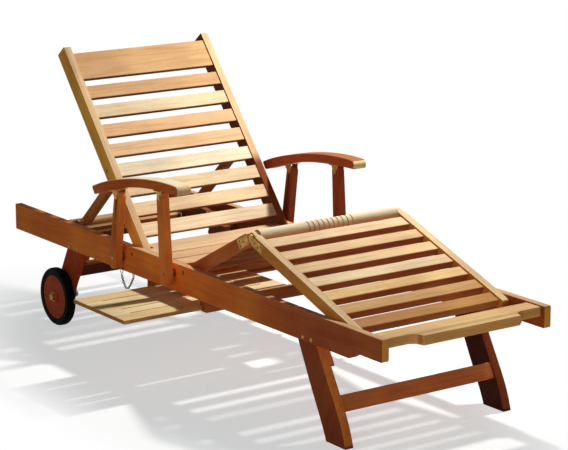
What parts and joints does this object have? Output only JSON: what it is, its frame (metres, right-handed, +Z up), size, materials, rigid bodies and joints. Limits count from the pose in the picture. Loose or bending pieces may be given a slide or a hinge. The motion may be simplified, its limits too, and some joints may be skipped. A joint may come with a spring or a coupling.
{
  "type": "steamer deck chair",
  "caption": "Slatted wooden sun lounger on a pair of wheels with a reclining back, a folding leg rest, fold-down armrests and a slide-out side tray.",
  "frame": {"origin": "on the floor under the centre of the bounding box, with the tray pulled out", "axes": "+X to the foot end, -Y to the sitter's right where the tray comes out, +Z up"},
  "size_m": [2.019, 0.9181, 0.9142],
  "materials": {
    "oiled_hardwood": "oiled",
    "slat_wood": "oiled",
    "brass_fittings": "satin",
    "tyre_rubber": "matt",
    "steel_rod": "satin",
    "dark_chain": "dull"
  },
  "bodies": {
    "frame": {"axle": "steel_rod", "back_pivot_bolts": "brass_fittings", "back_rack_left": "oiled_hardwood", "back_rack_right": "oiled_hardwood", "foot_board": "slat_wood", "front_leg_crossbar": "oiled_hardwood", "front_leg_left": "oiled_hardwood", "front_leg_right": "oiled_hardwood", "head_cross_rail": "oiled_hardwood", "hub_nuts": "brass_fittings", "leg_bolts": "brass_fittings", "leg_rest_ledges": "oiled_hardwood", "leg_rest_pivot_bolts": "brass_fittings", "pin_chain": "dark_chain", "post_pivot_bolts": "brass_fittings", "rear_leg_crossbar": "oiled_hardwood", "rear_leg_left": "oiled_hardwood", "rear_leg_right": "oiled_hardwood", "seat_board_front": "slat_wood", "seat_board_middle": "slat_wood", "seat_board_rear": "slat_wood", "seat_cleats": "oiled_hardwood", "side_rail_left": "oiled_hardwood", "side_rail_right": "oiled_hardwood", "tray_runner_front": "oiled_hardwood", "tray_runner_rear": "oiled_hardwood"},
    "wheel_right": {"wheel_disc_right": "oiled_hardwood", "tyre_right": "tyre_rubber"},
    "wheel_left": {"wheel_disc_left": "oiled_hardwood", "tyre_left": "tyre_rubber"},
    "backrest": {"back_base_rail": "oiled_hardwood", "back_slats": "slat_wood", "back_stile_left": "oiled_hardwood", "back_stile_right": "oiled_hardwood", "back_top_board": "slat_wood", "prop_rod": "steel_rod"},
    "prop": {"prop_arm_right": "oiled_hardwood", "prop_arm_left": "oiled_hardwood", "prop_foot_bar": "oiled_hardwood"},
    "upper_leg_rest": {"thigh_hinge_leaves": "brass_fittings", "thigh_slats": "slat_wood", "thigh_stile_left": "oiled_hardwood", "thigh_stile_right": "oiled_hardwood"},
    "lower_leg_rest": {"calf_hinge_leaves": "brass_fittings", "calf_slats": "slat_wood", "calf_stile_left": "oiled_hardwood", "calf_stile_right": "oiled_hardwood", "knee_rod": "slat_wood"},
    "tray_panel": {"tray": "slat_wood"},
    "lock_pin_body": {"lock_pin": "brass_fittings"},
    "arm_board_right": {"arm_right": "oiled_hardwood", "arm_plates_right": "brass_fittings"},
    "rear_post_right": {"arm_rear_post_right": "oiled_hardwood"},
    "front_post_right": {"arm_front_post_right": "oiled_hardwood"},
    "arm_board_left": {"arm_left": "oiled_hardwood", "arm_plates_left": "brass_fittings"},
    "rear_post_left": {"arm_rear_post_left": "oiled_hardwood"},
    "front_post_left": {"arm_front_post_left": "oiled_hardwood"}
  },
  "joints": [
    {"name": "wheel_right_turn", "type": "hinge", "parent": "frame", "child": "wheel_right", "pos_m": [-0.711, -0.20375, 0.0955], "axis": [0, 1, 0], "continuous": true},
    {"name": "wheel_left_turn", "type": "hinge", "parent": "frame", "child": "wheel_left", "pos_m": [-0.711, 0.42225, 0.0955], "axis": [0, 1, 0], "continuous": true},
    {"name": "back_recline", "type": "hinge", "parent": "frame", "child": "backrest", "pos_m": [-0.2675, 0.10925, 0.3265], "axis": [0, 1, 0], "range_deg": [-50.6, 15]},
    {"name": "prop_fold", "type": "hinge", "parent": "backrest", "child": "prop", "pos_m": [-0.45104, 0.10925, 0.5553], "axis": [0, 1, 0], "range_deg": [-27.48, 91.5]},
    {"name": "leg_rest_lift", "type": "hinge", "parent": "frame", "child": "upper_leg_rest", "pos_m": [0.0245, 0.10925, 0.329], "axis": [0, 1, 0], "range_deg": [0, 27.6]},
    {"name": "knee_fold", "type": "hinge", "parent": "upper_leg_rest", "child": "lower_leg_rest", "pos_m": [0.34557, 0.10925, 0.49685], "axis": [0, 1, 0], "range_deg": [-47.1, 0]},
    {"name": "arm_fold_right", "type": "hinge", "parent": "frame", "child": "rear_post_right", "pos_m": [-0.3165, -0.21725, 0.31], "axis": [0, 1, 0], "range_deg": [0, 45]},
    {"name": "arm_swing_right", "type": "hinge", "parent": "rear_post_right", "child": "arm_board_right", "pos_m": [-0.2855, -0.21725, 0.51], "axis": [0, 1, 0], "range_deg": [-57.27, 0]},
    {"name": "front_post_fold_right", "type": "hinge", "parent": "frame", "child": "front_post_right", "pos_m": [-0.0255, -0.21725, 0.32], "axis": [0, 1, 0], "range_deg": [0, 31.8]},
    {"name": "arm_fold_left", "type": "hinge", "parent": "frame", "child": "rear_post_left", "pos_m": [-0.3165, 0.43575, 0.31], "axis": [0, 1, 0], "range_deg": [0, 45]},
    {"name": "arm_swing_left", "type": "hinge", "parent": "rear_post_left", "child": "arm_board_left", "pos_m": [-0.2855, 0.43575, 0.51], "axis": [0, 1, 0], "range_deg": [-57.27, 0]},
    {"name": "front_post_fold_left", "type": "hinge", "parent": "frame", "child": "front_post_left", "pos_m": [-0.0255, 0.43575, 0.32], "axis": [0, 1, 0], "range_deg": [0, 31.8]},
    {"name": "tray_slide", "type": "slide", "parent": "frame", "child": "tray_panel", "axis": [0, 1, 0], "range_m": [0, 0.258]},
    {"name": "lock_pin_pull", "type": "slide", "parent": "frame", "child": "lock_pin_body", "axis": [0, -1, 0], "range_m": [0, 0.05]}
  ],
  "couplings": [
    {"joint": "prop_fold", "follows": "back_recline", "ratio": -1.7984},
    {"joint": "knee_fold", "follows": "leg_rest_lift", "ratio": -1.6957},
    {"joint": "arm_swing_right", "follows": "arm_fold_right", "ratio": -1.2661},
    {"joint": "front_post_fold_right", "follows": "arm_fold_right", "ratio": 0.70003},
    {"joint": "arm_swing_left", "follows": "arm_fold_left", "ratio": -1.2661},
    {"joint": "front_post_fold_left", "follows": "arm_fold_left", "ratio": 0.70003}
  ]
}
